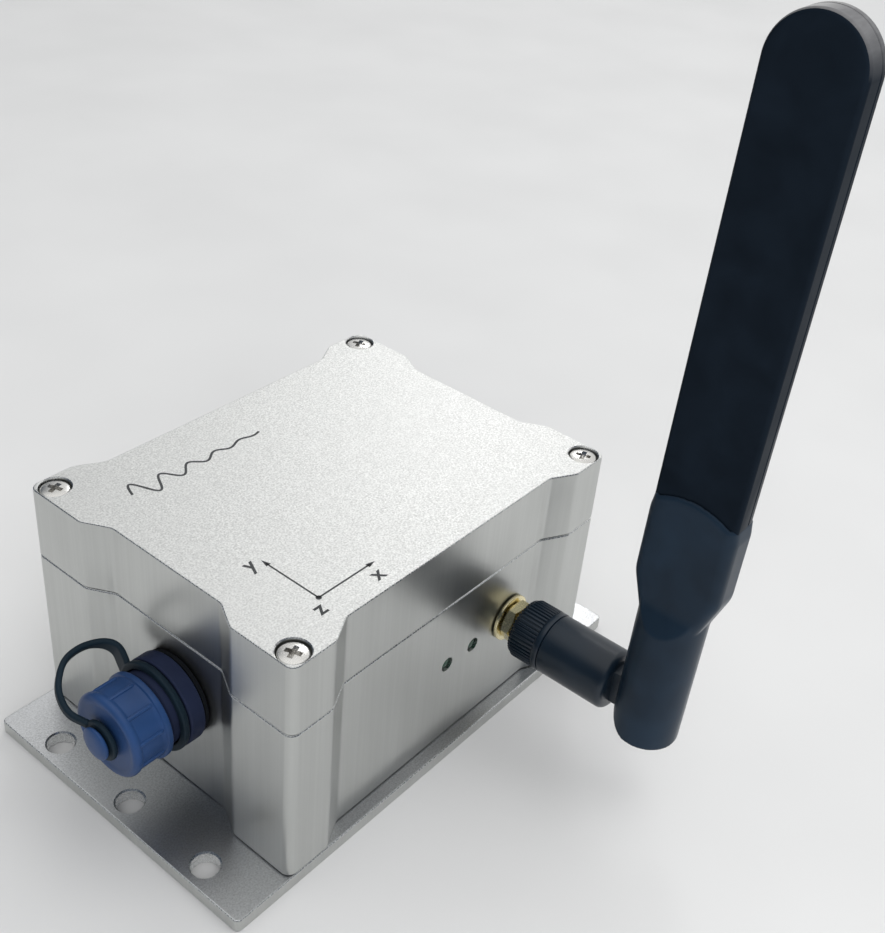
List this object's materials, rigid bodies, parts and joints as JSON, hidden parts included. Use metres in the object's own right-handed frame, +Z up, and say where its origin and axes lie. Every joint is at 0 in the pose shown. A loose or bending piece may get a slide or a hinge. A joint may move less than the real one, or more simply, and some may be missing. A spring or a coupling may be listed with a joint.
{
  "type": "wireless vibration sensor",
  "caption": "Boxy aluminium sensor housing on a flanged mounting plate, with a tethered screw cap on a round cable port and a swivelling, tilting paddle antenna.",
  "frame": {"origin": "centre of the mounting plate's underside", "axes": "+Z up out of the plate, +X along the plate's length away from the cable port, +Y away from the antenna"},
  "size_m": [0.1197, 0.1134, 0.1571],
  "materials": {
    "blasted_aluminium": "fine sand-blasted",
    "satin_aluminium": "satin",
    "nickel_steel": "bright nickel plate",
    "dark_steel": "blackened",
    "brass": "machined",
    "gold_plate": "gold plated",
    "seal_rubber": "matte",
    "tether_rubber": "satin",
    "moulded_plastic": "matte",
    "white_insulator": "matte",
    "antenna_black": "satin blue-black",
    "connector_black": "satin",
    "cap_blue": "satin",
    "circuit_board": "solder mask",
    "cell_wrap": "shrink wrap",
    "lamp_green": "clear tinted"
  },
  "bodies": {
    "housing": {"mounting_plate": "blasted_aluminium", "base_housing": "satin_aluminium", "lid": "blasted_aluminium", "lid_gasket": "seal_rubber", "lid_screw_1": "nickel_steel", "lid_screw_2": "nickel_steel", "lid_screw_3": "nickel_steel", "lid_screw_4": "nickel_steel", "plate_screw_1": "nickel_steel", "plate_screw_2": "nickel_steel", "plate_screw_3": "nickel_steel", "plate_screw_4": "nickel_steel", "main_board": "circuit_board", "board_standoff_1": "brass", "board_standoff_2": "brass", "board_standoff_3": "brass", "board_standoff_4": "brass", "board_screw_1": "nickel_steel", "board_screw_2": "nickel_steel", "board_screw_3": "nickel_steel", "board_screw_4": "nickel_steel", "accelerometer": "moulded_plastic", "radio_module": "nickel_steel", "battery_holder": "moulded_plastic", "battery_cell": "cell_wrap", "lamp_lens_1": "lamp_green", "lamp_lens_2": "lamp_green", "socket_shell": "gold_plate", "socket_insulator": "white_insulator", "socket_contact": "gold_plate", "socket_washer": "gold_plate", "socket_nut": "gold_plate", "port_body": "connector_black", "port_seal": "seal_rubber", "port_nut": "connector_black", "port_insert": "connector_black", "contact_pin_1": "gold_plate", "contact_pin_2": "gold_plate", "contact_pin_3": "gold_plate", "contact_pin_4": "gold_plate"},
    "collar": {"coupling_nut": "gold_plate", "knurled_collar": "antenna_black"},
    "elbow": {"plug_body": "gold_plate", "plug_insulator": "white_insulator", "plug_pin": "gold_plate", "elbow_barrel": "antenna_black"},
    "antenna": {"hinge_pin": "dark_steel", "antenna_knuckle": "antenna_black", "blade_front_shell": "antenna_black", "blade_back_shell": "antenna_black", "radiator_board": "circuit_board"},
    "cap_carriage": {"cap_tether": "tether_rubber"},
    "screw_cap": {"port_cap": "cap_blue", "cap_seal": "seal_rubber"}
  },
  "joints": [
    {"name": "collar_turn", "type": "hinge", "parent": "housing", "child": "collar", "pos_m": [0.0209, -0.032, 0.024], "axis": [0, -1, 0], "continuous": true},
    {"name": "antenna_swivel", "type": "hinge", "parent": "housing", "child": "elbow", "pos_m": [0.0209, -0.032, 0.024], "axis": [0, -1, 0], "continuous": true},
    {"name": "antenna_tilt", "type": "hinge", "parent": "elbow", "child": "antenna", "pos_m": [0.0209, -0.0674, 0.024], "axis": [1, 0, 0], "range_deg": [-1.2, 88.8]},
    {"name": "cap_travel", "type": "slide", "parent": "housing", "child": "cap_carriage", "axis": [-1, 0, 0], "range_m": [0, 0.00495]},
    {"name": "cap_turn", "type": "hinge", "parent": "cap_carriage", "child": "screw_cap", "pos_m": [-0.042, -0.0023, 0.0262], "axis": [-1, 0, 0], "range_deg": [0, 1190]}
  ],
  "couplings": [
    {"joint": "cap_turn", "follows": "cap_travel", "rad_per_m": 4188.8}
  ]
}
